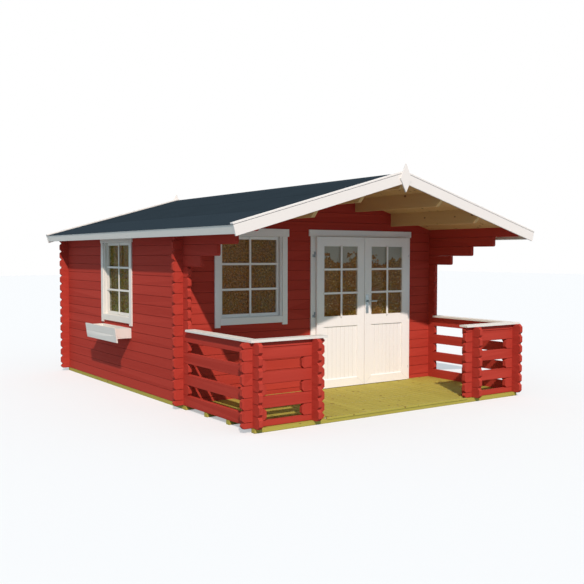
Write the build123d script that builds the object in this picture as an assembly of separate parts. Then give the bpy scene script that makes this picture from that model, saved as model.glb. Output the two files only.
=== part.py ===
from build123d import *
import math
import os

# A garden log cabin of notched planks with a covered terrace, a felt roof, a double glazed
# door, two windows and a flower box. All sizes are in millimetres.
# The origin is on the ground, in the middle of the whole object. Front faces -Y, up is +Z.

# Log planks and how they are laid
course = 120.0          # height of one log
thick = 44.0            # thickness of a log
seat = 0.3              # gap left where two pieces seat
log_end = 120.0         # length of a log past a crossing
end_bevel = 28.0        # bevel on the corners of a free log end
seam = 5.0              # bevel along the lower edge of a log, it makes the seams
bearer_height = 46.0    # ground bearers under the walls and the terrace
bearer_width = 60.0
bearer_inset = 4.0      # walls stand out this far over the bearers
joists = 5              # bearers under the room's floor

# House
width = 3828.0          # over the outer faces of the side walls
depth = 3780.0          # over the outer faces of the front and back walls
wall_courses = 17       # logs in a side wall
terrace_depth = 1466.0  # front wall to the front of the terrace rails
rail_length = 756.0     # corner to the free end post of a front rail, outer faces
rail_courses = 7
corbel_step = 366.0     # each canopy log reaches this much further than the one below
corbel_start = 42.0     # added to the reach of every canopy log
corbel_round = 24.0

# Roof
roof_rise = 0.283       # rise of the roof over one unit of run
front_overhang = 1536.0 # front wall to the face of the front barge boards
back_overhang = 192.0
eaves_run = 228.0       # side wall to the fascia
board_thick = 19.0
felt_thick = 3.0
barge_height = 110.0
barge_thick = 19.0
strip_thick = 18.0
strip_width = 55.0
fascia_height = 90.0
fascia_thick = 18.0
purlin_width = 44.0
purlin_height = 152.0
purlin_bevel = 58.0
purlin_places = (0.301, 0.62)  # shares of half the house's width
finial_width = 163.0
finial_up = 167.0
finial_down = 148.0
finial_thick = 18.0
finial_drop = 46.2      # underside of the roof at the ridge to the middle of the finial

# Windows: both have the same sash, frame and trim
window_half = 456.0     # half the width of the hole in the logs
frame_depth = 82.0
frame_face = 48.0
sash_recess = 36.0
sash_thick = 42.0
sash_stile = 30.0
sash_rail = 37.0
sash_rebate = 24.0      # face of the sash to the middle of its glass
bar_width = 25.0
bar_thick = 9.0
bar_lap = 24.0          # bars reach this far over a window sash
door_bar_lap = 12.0     # and this far over a door leaf
glass_thick = 4.0
glass_groove = 8.0      # depth of the groove that holds the glass
trim_width = 72.0
trim_thick = 18.0
trim_overhang = 23.0

# Door
doorway_half = 771.0    # half the width of the doorway in the logs
pier = 453.0            # logs between the front window and the doorway
front_shift = -15.5     # middle of the wall to the middle of window, pier and doorway together
jamb_face = 40.0
head_face = 90.0
threshold_height = 36.0
door_trim_cover = 56.0  # trim seen beside the doorway
leaf_thick = 37.0
leaf_gap = 5.5          # leaf to the trim behind it
leaf_meeting = 8.0      # gap between the two leaves
leaf_reach = 763.0      # middle of the door to the outer edge of a leaf
leaf_stile = 112.0
leaf_lift = 17.0        # bottom of a leaf above the first log's underside
panel_recess = 12.0     # face of a leaf to the boards of its panel
panel_boards = 8
groove = 5.0
miter_groove = 1.2      # half width and depth of the joint lines at a leaf's foot
hinge_radius = 8.0
hinge_offset = 13.5     # leaf edge to the hinge pin
pin_radius = 4.0
knuckle = 35.0
hinge_arm = 80.0        # how far a hinge reaches into its leaf
hinge_tab = 30.0        # and how far its other half reaches over the trim
hinge_plate = 3.0       # thickness of the arm
bearing_gap = 0.08      # round a pin that turns
backset = 40.0          # edge of the leaf to the spindle
back_recess = 8.0       # panel's boards below the leaf's inner face
lever_length = 128.0
lever_height = 18.0
lever_neck = 44.0
lever_bevel = 4.0
spindle_radius = 8.0
plate_width = 46.0
plate_height = 246.0
plate_thick = 4.0
plate_corner = 7.0

# Floor, deck, rail caps and flower box
floor_thick = 19.0
deck_thick = 20.0
deck_nose = 46.0        # rails to the front edge of the deck
deck_overhang = 8.0     # deck past the bearer under its front edge
deck_top = 11.0         # deck above the first log's underside
deck_places = (0.33, 0.65)  # bearers under the deck, as shares of the terrace's depth
rail_clear = 2.0        # deck and caps clear of a rail's log ends
cap_width = 125.0
cap_thick = 24.0
cap_overhang = 12.0     # cap past the log ends beside the gate
flower_half = 456.0
flower_depth = 223.0
flower_height = 126.0
flower_board = 18.0
flower_lean = 8.0       # front board, in degrees
flower_front = 50.0     # front boards past the ends of the box
flower_skirt = 46.0     # front boards below the box
flower_rim = 15.0       # and above it

# Worked out from the sizes above
x_left = -width / 2
x_right = width / 2
front_reach = max(front_overhang + finial_thick, terrace_depth + log_end)
back_reach = max(back_overhang + finial_thick, log_end)
y_front = (front_reach - depth - back_reach) / 2
y_back = y_front + depth
y_rail = y_front - terrace_depth
z0 = bearer_height
tilt = math.atan(roof_rise)
ridge_z = z0 + (wall_courses - 0.13) * course + roof_rise * width / 2
front_barge_y = y_front - front_overhang
back_barge_y = y_back + back_overhang
window_x = front_shift - pier / 2 - doorway_half
door_x = front_shift + pier / 2 + window_half
sides = (("left", -1), ("right", 1))


def level(courses):
    return z0 + courses * course


def box(x0, x1, y0, y1, za, zb):
    return Pos((x0 + x1) / 2, (y0 + y1) / 2, (za + zb) / 2) * Box(x1 - x0, y1 - y0, zb - za)


def upright(points, along, low, high):
    """A plate drawn in XZ or YZ, from low to high on the axis that is left."""
    if along == "x":
        return extrude(Plane.XZ.offset(-low) * Polygon(*points, align=None), amount=high - low, dir=(0, 1, 0))
    return extrude(Plane.YZ.offset(low) * Polygon(*points, align=None), amount=high - low, dir=(1, 0, 0))


def flat(points, za, zb):
    return extrude(Plane.XY.offset(za) * Polygon(*points, align=None), amount=zb - za, dir=(0, 0, 1))


def edge_line(start, end, z, into, cuts, bevels):
    """One long edge of a log from start to end, with its notches and end bevels."""
    line = []
    a, b = bevels
    open_start = any(c[0] <= start for c in cuts)
    open_end = any(c[1] >= end for c in cuts)
    if not open_start:
        line += [(start, z + into * a), (start + a, z)] if a else [(start, z)]
    for low, high in sorted(cuts):
        deep = z + into * (course / 4 + seat / 2)
        if low > start:
            line.append((low, z))
        line.append((max(low, start), deep))
        line.append((min(high, end), deep))
        if high < end:
            line.append((high, z))
    if not open_end:
        line += [(end - b, z), (end, z + into * b)] if b else [(end, z)]
    return line


def log(along, start, end, face, low, high, crossings=(), top=True, bottom=True,
        bevels=(end_bevel, end_bevel), rounded=None, seams=(True, True)):
    """A log from start to end, its lesser face at `face`, in courses low to high, notched
    where it crosses the logs of the other direction. Seams are on its lesser and greater face."""
    za = level(low) + seat / 2
    zb = level(high) - seat / 2
    cuts = [(c - seat / 2, c + thick + seat / 2) for c in crossings]
    most = (high - low) * course / 2 - 6
    bevels = tuple(min(b, most) for b in bevels)
    upper = edge_line(start, end, zb, -1, cuts if top else [], bevels)
    lower = edge_line(start, end, za, 1, cuts if bottom else [], bevels)
    if rounded:
        turns = [math.radians(a) for a in (90, 60, 30, 0)]
        lower = lower[2:] if bevels[0] else lower[1:]
        arc = [(start + rounded * (1 - math.sin(t)), za + rounded * (1 - math.cos(t))) for t in turns]
        lower = arc + lower
        upper = [(start, zb)] + (upper[2:] if bevels[0] else upper[1:])
    body = upright(lower + upper[::-1], along, face, face + thick)
    a = seam if seams[0] else 0
    b = seam if seams[1] else 0
    section = [(face + a, za), (face + thick - b, za)]
    section += [(face + thick, za + b)] if b else []
    section += [(face + thick, zb), (face, zb)]
    section += [(face, za + a)] if a else []
    return body & upright(section, "y" if along == "x" else "x", start - 1, end + 1)


def under_roof(gap=seat):
    """The space below the roof boards."""
    reach = width / 2 + 2 * eaves_run
    drop = ridge_z - gap / math.cos(tilt)
    points = [(-reach, 0), (reach, 0), (reach, drop - roof_rise * reach), (0, drop),
              (-reach, drop - roof_rise * reach)]
    return upright(points, "x", front_barge_y - 50, back_barge_y + 50)


def group(parts):
    return Compound(children=[s for p in parts for s in p.solids()])


nodes = {}

# Ground bearers, the room's floor and the terrace deck
bearers = []
bearer_reach = width / 2 - bearer_inset
bearers.append(box(-bearer_reach, bearer_reach, y_front, y_front + bearer_width, 0, z0))
bearers.append(box(-bearer_reach, bearer_reach, y_back - bearer_width, y_back, 0, z0))
for side, sign in sides:
    a = sign * (bearer_reach - bearer_width)
    b = sign * bearer_reach
    bearers.append(box(min(a, b), max(a, b), y_front + bearer_width + seat, y_back - bearer_width - seat, 0, z0))
room_low = y_front + bearer_width
room_run = depth - 2 * bearer_width
for i in range(joists):
    y = room_low + room_run * (i + 1) / (joists + 1)
    inner = bearer_reach - bearer_width - seat
    bearers.append(box(-inner, inner, y - bearer_width / 2, y + bearer_width / 2, 0, z0))
deck_low = z0 + deck_top - deck_thick
deck_rows = [y_front - bearer_width - seat]
deck_rows += [y_front - bearer_width - terrace_depth * place for place in deck_places]
deck_rows.append(y_rail - deck_nose + deck_overhang)
for y in deck_rows:
    lug = rail_length + log_end + rail_clear if y == deck_rows[-1] else thick + seat
    outline = [(x_left, 0), (x_right, 0), (x_right, z0), (x_right - lug, z0), (x_right - lug, deck_low - seat),
               (x_left + lug, deck_low - seat), (x_left + lug, z0), (x_left, z0)]
    bearers.append(upright(outline, "x", y, y + bearer_width))
nodes["base_bearers"] = group(bearers)
nodes["floor_boards"] = box(x_left + thick + seat, x_right - thick - seat, y_front + thick + seat,
                            y_back - thick - seat, z0 + seat, z0 + seat + floor_thick)
gate_left = x_left + rail_length + log_end + rail_clear
deck_in = y_rail + thick + seat
deck_out = y_rail - deck_nose
deck_plan = [(x_left + thick + seat, deck_in), (gate_left, deck_in), (gate_left, deck_out), (-gate_left, deck_out),
             (-gate_left, deck_in), (x_right - thick - seat, deck_in), (x_right - thick - seat, y_front - seat),
             (x_left + thick + seat, y_front - seat)]
deck = flat(deck_plan, deck_low, deck_low + deck_thick)
for side, sign in sides:
    a = sign * (width / 2 - rail_length - seat)
    b = sign * (width / 2 - rail_length + thick + seat)
    deck -= box(min(a, b), max(a, b), deck_in - 1, deck_in + log_end + seat, 0, z0 + course)
nodes["terrace_deck"] = deck

# Side walls. The upper four logs run on past the front wall as the canopy's corbels, and the
# rail logs take over from the wall logs that lie on the same course.
front_cross = y_front
back_cross = y_back - thick
window_y = (y_front + y_back) / 2
hole_low = 7
hole_high = 16
roof_space = under_roof()
for side, sign in sides:
    face = x_left if sign < 0 else x_right - thick
    logs = []
    for k in range(wall_courses):
        start = y_front - log_end
        crossings = [front_cross, back_cross]
        bevels = (end_bevel, end_bevel)
        rounded = None
        if k < rail_courses and k % 2 == 0:
            start = y_front + thick + seat
            crossings = [back_cross]
            bevels = (0, end_bevel)
        if k >= wall_courses - 4:
            start = y_front - corbel_step * (k - wall_courses + 5) - corbel_start
            rounded = corbel_round
            if k == wall_courses - 1:
                start = front_barge_y + barge_thick + seat
        runs = [(start, y_back + log_end, crossings)]
        if side == "left" and hole_low <= k < hole_high:
            runs = [(start, window_y - window_half, crossings[:1]),
                    (window_y + window_half, y_back + log_end, crossings[1:])]
        for n, (a, b, cross) in enumerate(runs):
            ends = (bevels[0] if n == 0 else 0, bevels[1] if n == len(runs) - 1 else 0)
            canopy = k >= wall_courses - 4
            piece = log("y", a, b, face, k, k + 1, cross, top=k < wall_courses - 1, bevels=ends,
                        rounded=rounded if n == 0 else None, seams=(canopy or sign < 0, canopy or sign > 0))
            if k == wall_courses - 1:
                piece = piece & roof_space
            logs.append(piece)
    nodes[side + "_wall"] = group(logs)

# Front and back walls, half a course higher than the side walls
cross_x = [x_left, x_right - thick]
wall_low = x_left - log_end
wall_high = x_right + log_end
left_logs = []
right_logs = []
back_logs = []
for k in range(wall_courses):
    low = max(k - 0.5, 0)
    high = k + 0.5
    first = k > 0
    door_low = door_x - doorway_half
    runs = [(wall_low, door_low)]
    if k > hole_low:
        runs = [(wall_low, window_x - window_half), (window_x + window_half, door_low)]
    for n, (a, b) in enumerate(runs):
        ends = (end_bevel if n == 0 else 0, 0)
        left_logs.append(log("x", a, b, y_front, low, high, cross_x[:1] if n == 0 else [], bottom=first,
                             bevels=ends, seams=(True, False)))
    right_logs.append(log("x", door_x + doorway_half, wall_high, y_front, low, high, cross_x[1:], bottom=first,
                          bevels=(0, end_bevel), seams=(True, False)))
    back_logs.append(log("x", wall_low, wall_high, y_back - thick, low, high, cross_x, bottom=first,
                         seams=(False, True)))
nodes["front_wall_left"] = group(left_logs)
nodes["front_wall_right"] = group(right_logs)
nodes["back_wall"] = group(back_logs)

# Purlins and ridge beam, their top edges planed to the slope of the roof
purlin_runs = {"ridge_purlin": [0.0], "left_purlins": [-place for place in purlin_places],
               "right_purlins": purlin_places}
y_purlin = (front_barge_y + barge_thick + seat, back_barge_y - barge_thick - seat)
purlin_holes = []
for name, places in purlin_runs.items():
    beams = []
    for place in places:
        x = place * width / 2
        top = ridge_z - roof_rise * (abs(x) + (purlin_width / 2 if place else 0)) - seat
        low = top - purlin_height
        b = purlin_bevel
        side_view = [(y_purlin[0], low + b), (y_purlin[0] + b, low), (y_purlin[1] - b, low),
                     (y_purlin[1], low + b), (y_purlin[1], top + 40), (y_purlin[0], top + 40)]
        beam = upright(side_view, "y", x - purlin_width / 2, x + purlin_width / 2) & roof_space
        beams.append(beam)
        room = purlin_width / 2 + seat
        purlin_holes.append(box(x - room, x + room, y_front - 1, y_front + thick + 1, low - seat, ridge_z + 50))
        purlin_holes.append(box(x - room, x + room, y_back - thick - 1, y_back + 1, low - seat, ridge_z + 50))
    nodes[name] = group(beams)

# Gables, cut to the roof and let in round the purlins
holes = Compound(children=purlin_holes)
for name, face, shown in (("front_gable", y_front, (True, False)), ("back_gable", y_back - thick, (False, True))):
    pieces = []
    low = wall_courses - 0.5
    while level(low) < ridge_z - 20:
        reach = width / 2 - thick - seat
        stick = log("x", -reach, reach, face, low, low + 1, bevels=(0, 0), seams=shown) & roof_space
        pieces += [s for s in (stick - holes).solids() if s.volume > 40000]
        low += 1
    nodes[name] = Compound(children=pieces)

# Terrace rails: every second course is left open between the corner and the end post
for side, sign in sides:
    face = x_left if sign < 0 else x_right - thick
    post = x_left + rail_length - thick if sign < 0 else x_right - rail_length
    outer = x_left - log_end if sign < 0 else x_right + log_end
    inner = post + thick + log_end if sign < 0 else post - log_end
    low_x = min(outer, inner)
    high_x = max(outer, inner)
    stub = thick + 2 * log_end
    lengthwise = []
    outside = (sign < 0, sign > 0)
    for k in range(rail_courses):
        if k % 2 == 0:
            lengthwise.append(log("y", y_rail - log_end, y_front + thick, face, k, k + 1, [y_rail, y_front],
                                  bevels=(end_bevel, 0), seams=outside))
        else:
            lengthwise.append(log("y", y_rail - log_end, y_rail - log_end + stub, face, k, k + 1, [y_rail],
                                  seams=outside))
    nodes[side + "_rail_side"] = group(lengthwise)
    crosswise = []
    for k in range(rail_courses + 1):
        low = max(k - 0.5, 0)
        high = min(k + 0.5, rail_courses)
        kind = dict(top=k < rail_courses, bottom=k > 0, seams=(True, False))
        if k % 2 == 0 or k == rail_courses:
            crosswise.append(log("x", low_x, high_x, y_rail, low, high, [face, post], **kind))
        else:
            for c in (face, post):
                crosswise.append(log("x", c - log_end, c - log_end + stub, y_rail, low, high, [c], **kind))
    nodes[side + "_rail_front"] = group(crosswise)
    nodes[side + "_rail_post"] = group([log("y", y_rail - log_end, y_rail - log_end + stub, post, k, k + 1,
                                            [y_rail], seams=outside[::-1]) for k in range(rail_courses)])
    out = (cap_width - thick) / 2
    edge = sign * (width / 2 + out)
    back = sign * (width / 2 + out - cap_width)
    tip = sign * (width / 2 - rail_length - log_end - cap_overhang)
    ya = y_rail - out
    yb = y_rail - out + cap_width
    miter = seat / 2
    side_plan = [(edge, ya + miter), (back, yb + miter), (back, y_front - log_end - seat),
                 (edge, y_front - log_end - seat)]
    front_plan = [(edge, ya - miter), (tip, ya - miter), (tip, yb - miter), (back, yb - miter)]
    z = level(rail_courses) + seat
    nodes[side + "_rail_cap"] = group([flat(side_plan, z, z + cap_thick), flat(front_plan, z, z + cap_thick)])


def on_slope(run, out, up):
    """A point `out` down the slope and `up` square to it, from the roof's underside at `run`."""
    x = run + out * math.cos(tilt) + up * math.sin(tilt)
    z = ridge_z - roof_rise * run - out * math.sin(tilt) + up * math.cos(tilt)
    return x, z


def slope_plate(sign, low, high, run, y0, y1):
    """A plate on one slope from the ridge down to `run`, between two heights over the underside.
    It is cut plumb at the ridge and square to the slope at its foot."""
    start = seat / 2
    points = [(start, ridge_z + height / math.cos(tilt) - roof_rise * start) for height in (high, low)]
    points += [on_slope(run, 0, low), on_slope(run, 0, high)]
    return upright([(sign * x, z) for x, z in points], "x", y0, y1)


# Roof boards, felt, fascias and barge boards
eaves = width / 2 + eaves_run
felts = []
front_barges = []
back_barges = []
felt_base = board_thick + seat
strip_base = felt_base + felt_thick + seat
barge_low = board_thick - barge_height
barge_run = eaves + fascia_thick + 2
for side, sign in sides:
    nodes["roof_boards_" + side] = slope_plate(sign, 0, board_thick, eaves, front_barge_y + barge_thick + seat,
                                               back_barge_y - barge_thick - seat)
    felts.append(slope_plate(sign, felt_base, felt_base + felt_thick, eaves + fascia_thick + 4,
                             front_barge_y, back_barge_y))
    fascia = [on_slope(eaves, out, up) for out, up in (
        (seat, board_thick - fascia_height), (seat + fascia_thick, board_thick - fascia_height),
        (seat + fascia_thick, board_thick), (seat, board_thick))]
    nodes["eaves_fascia_" + side] = upright([(sign * x, z) for x, z in fascia], "x",
                                            front_barge_y + barge_thick + seat, back_barge_y - barge_thick - seat)
    for boards, ya, yb, yc, yd in ((front_barges, front_barge_y, front_barge_y + barge_thick,
                                    front_barge_y, front_barge_y + strip_width),
                                   (back_barges, back_barge_y - barge_thick, back_barge_y,
                                    back_barge_y - strip_width, back_barge_y)):
        boards.append(slope_plate(sign, barge_low, board_thick, barge_run, ya, yb))
        boards.append(slope_plate(sign, strip_base, strip_base + strip_thick, barge_run, yc, yd))
nodes["roofing_felt"] = group(felts)
nodes["front_barge_boards"] = group(front_barges)
nodes["back_barge_boards"] = group(back_barges)
finial_z = ridge_z - finial_drop
diamond = [(0, finial_z + finial_up), (finial_width / 2, finial_z), (0, finial_z - finial_down),
           (-finial_width / 2, finial_z)]
nodes["front_finial"] = upright(diamond, "x", front_barge_y - finial_thick, front_barge_y - seat)
nodes["back_finial"] = upright(diamond, "x", back_barge_y + seat, back_barge_y + finial_thick)


def glazing(x0, x1, za, zb, face, glass_y, lap):
    """Groove and pane of a glazed opening, and the lattice of bars that lies on its face."""
    pane_edge = glass_groove - seat
    free = glass_thick / 2 + seat
    slot = box(x0 - glass_groove, x1 + glass_groove, glass_y - free, glass_y + free, za - glass_groove,
               zb + glass_groove)
    pane = box(x0 - pane_edge, x1 + pane_edge, glass_y - glass_thick / 2, glass_y + glass_thick / 2,
               za - pane_edge, zb + pane_edge)
    mid = (x0 + x1) / 2
    lattice = box(mid - bar_width / 2, mid + bar_width / 2, face - bar_thick, face, za - lap, zb + lap)
    for part in (0.33, 0.67):
        z = za + (zb - za) * part
        lattice += box(x0 - lap, x1 + lap, face - bar_thick, face, z - bar_width / 2, z + bar_width / 2)
    return slot, lattice, pane


# Windows, drawn for the front wall round x = 0 with the wall's face at y = 0
open_low = level(7.5)
open_high = level(16.5)
frame_out = window_half - seat
frame_in = frame_out - frame_face
sash_out = frame_in - seat
sash_in = sash_out - sash_stile
rise = open_high - open_low
frame = box(-frame_out, frame_out, 0, frame_depth, open_low + seat, open_high - seat)
frame -= box(-frame_in, frame_in, -1, frame_depth + 1, open_low + 0.055 * rise, open_high - 0.065 * rise)
sash_low = open_low + 0.055 * rise + seat
sash_high = open_high - 0.065 * rise - seat
glass_low = sash_low + sash_rail
glass_high = sash_high - sash_rail
sash = box(-sash_out, sash_out, sash_recess, sash_recess + sash_thick, sash_low, sash_high)
sash -= box(-sash_in, sash_in, 0, frame_depth, glass_low, glass_high)
slot, lattice, pane = glazing(-sash_in, sash_in, glass_low, glass_high, sash_recess,
                              sash_recess + sash_rebate, bar_lap)
sash = sash - slot + lattice
trim_out = window_half + 47
head_low = open_high - 0.58 * course
head_high = open_high + 0.19 * course
foot_low = open_low - 0.19 * course
foot_high = open_low + 0.44 * course
trims = [box(-trim_out - trim_overhang, trim_out + trim_overhang, -trim_thick - seat, -seat, head_low, head_high)]
for side, sign in sides:
    a = sign * (trim_out - trim_width)
    b = sign * trim_out
    trims.append(box(min(a, b), max(a, b), -trim_thick - seat, -seat, open_low - 0.42 * course, head_low - seat))
inner_trim = trim_out - trim_width - seat
trims.append(box(-inner_trim, inner_trim, -trim_thick - seat, -seat, foot_low, foot_high))
window_parts = {"frame": group([frame, sash]), "glass": pane, "trim": group(trims)}
front_place = Pos(window_x, y_front, 0)
side_place = Pos(x_left, window_y, -course / 2) * Rot(0, 0, -90)
for part_name, shape in window_parts.items():
    nodes["front_window_" + part_name] = front_place * shape
    nodes["side_window_" + part_name] = side_place * shape

# Flower box under the side window, drawn like the windows
board = flower_board
flower_top = level(6.85)
flower_low = flower_top - flower_height
pieces = [box(-flower_half, flower_half, -board - seat, -seat, flower_low, flower_top)]
pieces.append(box(-flower_half, flower_half, -flower_depth + board, -board - 2 * seat, flower_low, flower_low + board))
lean = math.tan(math.radians(flower_lean))
for side, sign in sides:
    a = sign * (flower_half - board)
    b = sign * flower_half
    base_y = -flower_depth + board
    z_base = flower_low + board + seat
    outline = [(base_y - lean * (z_base - flower_low), z_base), (-board - 2 * seat, z_base),
               (-board - 2 * seat, flower_top), (base_y - lean * flower_height, flower_top)]
    pieces.append(upright(outline, "y", min(a, b), max(a, b)))
out_y = -flower_depth + board - seat
front_heights = [flower_low - flower_skirt, (flower_low + flower_top - flower_skirt + flower_rim) / 2,
                 flower_top + flower_rim]
for low_z, high_z in ((front_heights[0], front_heights[1] - seat), (front_heights[1], front_heights[2])):
    near = out_y - lean * (low_z - flower_low)
    far = out_y - lean * (high_z - flower_low)
    outline = [(near, low_z), (far, high_z), (far - board, high_z), (near - board, low_z)]
    pieces.append(upright(outline, "y", -flower_half - flower_front, flower_half + flower_front))
nodes["flower_box"] = side_place * group(pieces)

# Door frame and trim, drawn round x = 0 with the wall's face at y = 0
place = Pos(door_x, y_front, 0)
way_top = level(16.5)
jamb_out = doorway_half - seat
jamb_in = jamb_out - jamb_face
jamb_depth = thick - seat
fixed = [box(-jamb_out, jamb_out, 0, jamb_depth, way_top - head_face, way_top - seat)]
for side, sign in sides:
    a = sign * jamb_in
    b = sign * jamb_out
    fixed.append(box(min(a, b), max(a, b), 0, jamb_depth, z0 + seat, way_top - head_face - seat))
fixed.append(box(-jamb_in + seat, jamb_in - seat, 0, jamb_depth, z0 + seat, z0 + threshold_height))
nodes["door_frame"] = place * group(fixed)
cover = doorway_half + door_trim_cover
door_head_low = level(16.03)
trims = [box(-cover - trim_overhang, cover + trim_overhang, -trim_thick - seat, -seat, door_head_low, level(16.7))]
for side, sign in sides:
    a = sign * (doorway_half - 25)
    b = sign * cover
    trims.append(box(min(a, b), max(a, b), -trim_thick - seat, -seat, z0 + deck_top + seat, door_head_low - seat))
nodes["door_trim"] = place * group(trims)

# Door leaves: stiles and rails round a glazed upper part and a boarded lower panel
leaf_back = -trim_thick - leaf_gap
leaf_front = leaf_back - leaf_thick
leaf_low = z0 + leaf_lift
leaf_high = level(15.98)
pane_low = level(7.67)
pane_high = level(15.0)
panel_low = level(1.09)
panel_high = level(6.58)
pin_y = -trim_thick - hinge_radius - 1.5
hinge_levels = (1.68, 7.9, 14.15)
pins = []
for side, sign in sides:
    near = sign * leaf_meeting / 2
    far = sign * leaf_reach
    x0 = min(near, far)
    x1 = max(near, far)
    leaf = box(x0, x1, leaf_front, leaf_back, leaf_low, leaf_high)
    gx0 = x0 + leaf_stile
    gx1 = x1 - leaf_stile
    leaf -= box(gx0, gx1, leaf_front - 1, leaf_back + 1, pane_low, pane_high)
    slot, lattice, pane = glazing(gx0, gx1, pane_low, pane_high, leaf_front,
                                  (leaf_front + leaf_back) / 2, door_bar_lap)
    leaf = leaf - slot + lattice
    boards_y = leaf_front + panel_recess
    leaf -= box(gx0, gx1, leaf_front - 1, boards_y, panel_low, panel_high)
    slope = [(leaf_front - 1, panel_low - panel_recess - 1), (boards_y, panel_low), (leaf_front - 1, panel_low)]
    leaf -= upright(slope, "y", gx0, gx1)
    leaf -= box(gx0, gx1, leaf_back - back_recess, leaf_back + 1, panel_low, panel_high)
    step = (gx1 - gx0) / panel_boards
    for i in range(1, panel_boards):
        x = gx0 + i * step
        wedge = [(x - groove / 2, boards_y - 1), (x + groove / 2, boards_y - 1), (x, boards_y + groove / 2)]
        leaf -= flat(wedge, panel_low, panel_high)
    g = miter_groove
    for xa, xb in ((x0, gx0), (x1, gx1)):
        joint = [(xa - g, leaf_low), (xa + g, leaf_low), (xb + g, panel_low - panel_recess),
                 (xb - g, panel_low - panel_recess)]
        leaf -= upright(joint, "x", leaf_front - 1, leaf_front + g)
    pin_x = far + sign * hinge_offset
    turning = []
    for z in hinge_levels:
        zc = level(z)
        barrel = Pos(pin_x, pin_y, zc - knuckle / 2 - seat / 2) * Cylinder(hinge_radius, knuckle - seat)
        rod = Pos(pin_x, pin_y, zc + knuckle / 4) * Cylinder(pin_radius, knuckle * 1.5)
        tab_end = pin_x + sign * hinge_tab
        tab = box(min(pin_x, tab_end), max(pin_x, tab_end), -trim_thick - seat - 2.2, -trim_thick - 2 * seat,
                  zc - knuckle, zc - seat)
        pins.append(barrel + rod + tab)
        upper = Pos(pin_x, pin_y, zc + knuckle / 2) * Cylinder(hinge_radius, knuckle)
        arm_end = far - sign * hinge_arm
        arm = box(min(pin_x, arm_end), max(pin_x, arm_end), pin_y - hinge_plate / 2, pin_y + hinge_plate / 2,
                  zc, zc + knuckle)
        upper = upper + arm
        upper -= Pos(pin_x, pin_y, zc + knuckle / 2) * Cylinder(pin_radius + bearing_gap, knuckle + 2)
        turning.append(upper)
        room = hinge_plate / 2 + seat
        leaf -= box(min(far, arm_end) - seat, max(far, arm_end) + seat, pin_y - room, pin_y + room,
                    zc - seat, zc + knuckle + seat)
    if side == "right":
        handle_x = near + backset
        handle_z = level(9.13)
        leaf -= Pos(handle_x, (leaf_front + leaf_back) / 2, handle_z) * Rot(90, 0, 0) * Cylinder(10, leaf_thick + 2)
        plates = []
        for ya in (leaf_front - plate_thick - seat, leaf_back + seat):
            plate = box(handle_x - plate_width / 2, handle_x + plate_width / 2, ya, ya + plate_thick,
                        level(7.81), level(7.81) + plate_height)
            plate = chamfer(plate.edges().filter_by(Axis.Y), plate_corner)
            plate -= Pos(handle_x, ya, handle_z) * Rot(90, 0, 0) * Cylinder(spindle_radius + bearing_gap, 40)
            plates.append(plate)
        nodes["lock_plates"] = place * group(plates)
        spindle_front = leaf_front - lever_neck
        spindle_back = leaf_back + 20
        spindle = Pos(handle_x, (spindle_front + spindle_back) / 2, handle_z) * Rot(90, 0, 0) * Cylinder(
            spindle_radius, spindle_back - spindle_front)
        handle = spindle
        for ya, yb in ((spindle_front - 6, spindle_front + 8), (spindle_back - 9, spindle_back + 3)):
            lever = box(handle_x - 10, handle_x + lever_length, ya, yb, handle_z - lever_height / 2,
                        handle_z + lever_height / 2)
            handle += chamfer(lever.edges().filter_by(Axis.X), lever_bevel)
        nodes["door_handle"] = place * handle
    nodes["door_leaf_" + side] = place * leaf
    nodes["door_glass_" + side] = place * pane
    nodes["door_hinges_" + side] = place * group(turning)
nodes["hinge_pins"] = place * group(pins)

os.makedirs("parts", exist_ok=True)
for name, shape in nodes.items():
    export_step(shape, "parts/" + name + ".step")
print(len(nodes), "nodes")
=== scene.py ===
import math

import bmesh
import bpy
from mathutils import Matrix, Vector


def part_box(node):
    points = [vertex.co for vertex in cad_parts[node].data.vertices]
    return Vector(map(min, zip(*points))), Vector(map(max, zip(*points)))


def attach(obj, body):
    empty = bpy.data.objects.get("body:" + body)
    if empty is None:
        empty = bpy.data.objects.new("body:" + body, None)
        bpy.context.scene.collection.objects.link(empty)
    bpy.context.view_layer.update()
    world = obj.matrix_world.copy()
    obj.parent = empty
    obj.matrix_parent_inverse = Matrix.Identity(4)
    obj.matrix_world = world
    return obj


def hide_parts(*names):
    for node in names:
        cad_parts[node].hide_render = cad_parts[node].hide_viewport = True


# A red garden log cabin with a covered terrace. Metres, front faces -Y.

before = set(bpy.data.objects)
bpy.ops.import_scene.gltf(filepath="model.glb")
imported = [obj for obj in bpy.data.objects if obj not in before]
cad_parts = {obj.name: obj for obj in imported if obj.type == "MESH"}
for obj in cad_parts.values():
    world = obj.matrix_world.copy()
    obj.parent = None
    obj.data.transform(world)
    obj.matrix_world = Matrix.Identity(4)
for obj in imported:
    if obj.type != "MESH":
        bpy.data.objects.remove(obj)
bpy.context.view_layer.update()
print("frame loaded:", len(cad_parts), "nodes")


def linear(hexColour):
    # sRGB hex to the linear colour that the shaders want
    out = []
    for i in (0, 2, 4):
        c = int(hexColour[i:i + 2], 16) / 255
        out.append(c / 12.92 if c <= 0.04045 else ((c + 0.055) / 1.055) ** 2.4)
    return (*out, 1.0)


def addNode(tree, kind, settings=None, links=None):
    # one node with its settings (socket name, socket number or property) and its links
    node = tree.nodes.new(kind)
    for key, value in (settings or {}).items():
        if isinstance(key, int) or (key in node.inputs and not hasattr(type(node), key)):
            node.inputs[key].default_value = value
        else:
            setattr(node, key, value)
    for key, socket in (links or {}).items():
        tree.links.new(socket, node.inputs[key])
    return node


def newMaterial(name):
    material = bpy.data.materials.new(name)
    material.use_nodes = True
    tree = material.node_tree
    tree.nodes.clear()
    shader = addNode(tree, "ShaderNodeBsdfPrincipled")
    out = addNode(tree, "ShaderNodeOutputMaterial", links={"Surface": shader.outputs[0]})
    out.location = (400, 0)
    return material, tree, shader


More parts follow.
